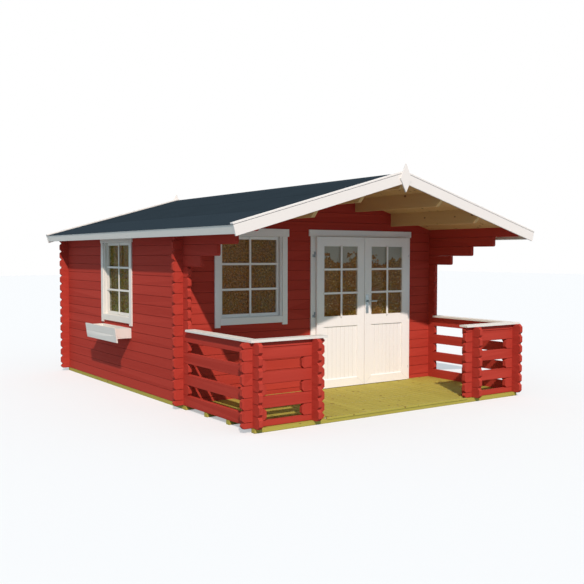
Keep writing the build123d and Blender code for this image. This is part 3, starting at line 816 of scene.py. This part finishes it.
def lockTrim():
    # on each plate two screws, a profile cylinder with its keyway and a collar round the spindle
    low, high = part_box("lock_plates")
    handleLow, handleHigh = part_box("door_handle")
    x = (low.x + high.x) / 2
    spindle = (handleLow.z + handleHigh.z) / 2
    spots = []
    collars = []
    cylinders = []
    for y, facing in ((low.y, -1), (high.y, 1)):
        for z in (low.z + lockSizes["screwIn"], high.z - lockSizes["screwIn"]):
            spots.append(((x, y, z), (0, facing, 0)))
        collars.append(((x, y, spindle), (0, facing, 0)))
        cylinders.append(((x, y, spindle - lockSizes["drop"]), (0, facing, 0)))
    screws("plateScrews", "right_leaf", spots, screwSizes["plate"])
    rise = lockSizes["collarHigh"]
    ring = lockSizes["collar"]
    bore = lockSizes["spindle"]
    sunk = lockSizes["collarSunk"]
    collar = [(bore, -sunk), (ring, -sunk), (ring, rise * lockSizes["collarShoulder"]),
              (ring - lockSizes["collarEdge"], rise), (bore, rise)]
    mesh = turnedMesh("spindleCollars", collars, collar, lockSizes["collarSides"], hollow=True)
    newPiece("spindleCollars", mesh, "right_leaf", zinc)
    barrel = lockSizes["cylinder"]
    face = lockSizes["cylinderHigh"]
    plug = [(barrel, -lockSizes["cylinderSunk"]), (barrel, lockSizes["cylinderShoulder"]),
            (barrel - lockSizes["cylinderEdge"], face), (barrel * lockSizes["keyway"], face),
            (barrel * lockSizes["keywayFloor"], -lockSizes["keywayDeep"])]
    mesh = turnedMesh("lockCylinders", cylinders, plug, lockSizes["cylinderSides"])
    newPiece("lockCylinders", mesh, "right_leaf", zinc)


terraceBoards()
roomFloor()
roofBoards("left", -1)
roofBoards("right", 1)
feltStrips()
deckScrews()
doorScrews()
lockTrim()
print("boards, felt and fastenings laid")

# Camera where the photograph was taken from: measured for this cabin's size
cameraSpot = {"x": -6.029, "y": -9.278, "z": 1.731, "yaw": -34.72, "down": 2.60, "roll": 0.07,
              "lens": 49.63, "sensor": 36.0, "farthest": 300.0}
cameraData = bpy.data.cameras.new("camera")
cameraData.lens = cameraSpot["lens"]
cameraData.sensor_width = cameraSpot["sensor"]
cameraData.clip_end = cameraSpot["farthest"]
camera = bpy.data.objects.new("camera", cameraData)
bpy.context.collection.objects.link(camera)
camera.location = (cameraSpot["x"], cameraSpot["y"], cameraSpot["z"])
turn = Matrix.Rotation(math.radians(cameraSpot["yaw"]), 4, "Z")
tip = Matrix.Rotation(math.radians(90 - cameraSpot["down"]), 4, "X")
roll = Matrix.Rotation(math.radians(cameraSpot["roll"]), 4, "Z")
camera.rotation_euler = (turn @ tip @ roll).to_euler()
bpy.context.scene.camera = camera

# One warm lamp high in front, a little to the left, and a pale blue sky all round
lights = {"key": "ffeee4", "keyStrength": 3.5, "keySoftness": 1.0, "keyFrom": (-0.53, -1.0, 0.95),
          "sky": "c9ecff", "skyStrength": 0.6}
keyData = bpy.data.lights.new("key", "SUN")
keyData.energy = lights["keyStrength"]
keyData.angle = math.radians(lights["keySoftness"])
keyData.color = linear(lights["key"])[:3]
key = bpy.data.objects.new("key", keyData)
bpy.context.collection.objects.link(key)
key.rotation_euler = Vector(lights["keyFrom"]).to_track_quat("Z", "Y").to_euler()

# A soft lamp under the room's ceiling, so that its bare wood shows through the panes
roomLamp = {"colour": "fff1de", "power": 22.0, "radius": 0.35, "up": 1.95}
roomData = bpy.data.lights.new("roomLamp", "POINT")
roomData.energy = roomLamp["power"]
roomData.color = linear(roomLamp["colour"])[:3]
roomData.shadow_soft_size = roomLamp["radius"]
roomLight = bpy.data.objects.new("roomLamp", roomData)
bpy.context.collection.objects.link(roomLight)
floorLow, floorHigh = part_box("floor_boards")
roomLight.location = ((floorLow.x + floorHigh.x) / 2, (floorLow.y + floorHigh.y) / 2, roomLamp["up"])
roomLight.visible_camera = False
roomLight.visible_glossy = False
roomLight.visible_transmission = False


def grey(value):
    return (value, value, value, 1.0)


def seenDirectly(tree):
    # 1 where the camera sees the surface, straight or in metal and glass, 0 where it only gives light
    path = addNode(tree, "ShaderNodeLightPath")
    straight = addNode(tree, "ShaderNodeMath", {"operation": "MAXIMUM"},
                       {0: path.outputs["Is Camera Ray"], 1: path.outputs["Is Transmission Ray"]})
    return addNode(tree, "ShaderNodeMath", {"operation": "MAXIMUM"},
                   {0: straight.outputs[0], 1: path.outputs["Is Glossy Ray"]}).outputs[0]


world = bpy.data.worlds.new("paleSky")
bpy.context.scene.world = world
world.use_nodes = True
sky = world.node_tree
sky.nodes.clear()
ambient = addNode(sky, "ShaderNodeBackground",
                  {"Color": linear(lights["sky"]), "Strength": lights["skyStrength"]})
white = addNode(sky, "ShaderNodeBackground", {"Color": grey(1.0), "Strength": 1.0})
either = addNode(sky, "ShaderNodeMixShader",
                 links={0: seenDirectly(sky), 1: ambient.outputs[0], 2: white.outputs[0]})
addNode(sky, "ShaderNodeOutputWorld", links={0: either.outputs[0]})

# Plain white floor. It is seen nearly white with the cabin's shadow on it, and throws back
# no more light than a yard would.
studioFloor = {"half": 60.0, "yard": "969fa5", "seen": 0.5, "glow": 0.42}
floorMesh = bpy.data.meshes.new("studioFloor")
half = studioFloor["half"]
floorCorners = [(-half, -half, 0), (half, -half, 0), (half, half, 0), (-half, half, 0)]
floorMesh.from_pydata(floorCorners, [], [(0, 1, 2, 3)])
floor = bpy.data.objects.new("studioFloor", floorMesh)
bpy.context.collection.objects.link(floor)
floorMaterial, floorTree, floorShader = newMaterial("paleStudioFloor")
floorSeen = seenDirectly(floorTree)
floorColour = addNode(floorTree, "ShaderNodeMix",
                      {"data_type": "RGBA", 6: linear(studioFloor["yard"]), 7: grey(studioFloor["seen"])},
                      {0: floorSeen})
floorGlow = addNode(floorTree, "ShaderNodeMath", {"operation": "MULTIPLY", 1: studioFloor["glow"]},
                    {0: floorSeen})
floorTree.links.new(floorColour.outputs[2], floorShader.inputs["Base Color"])
floorTree.links.new(floorGlow.outputs[0], floorShader.inputs["Emission Strength"])
floorShader.inputs["Emission Color"].default_value = grey(1.0)
floorShader.inputs["Specular IOR Level"].default_value = 0.0
floorShader.inputs["Roughness"].default_value = 1.0
floorMesh.materials.append(floorMaterial)

bpy.context.scene.view_settings.view_transform = "Standard"
print("camera, lamps, sky and floor set")
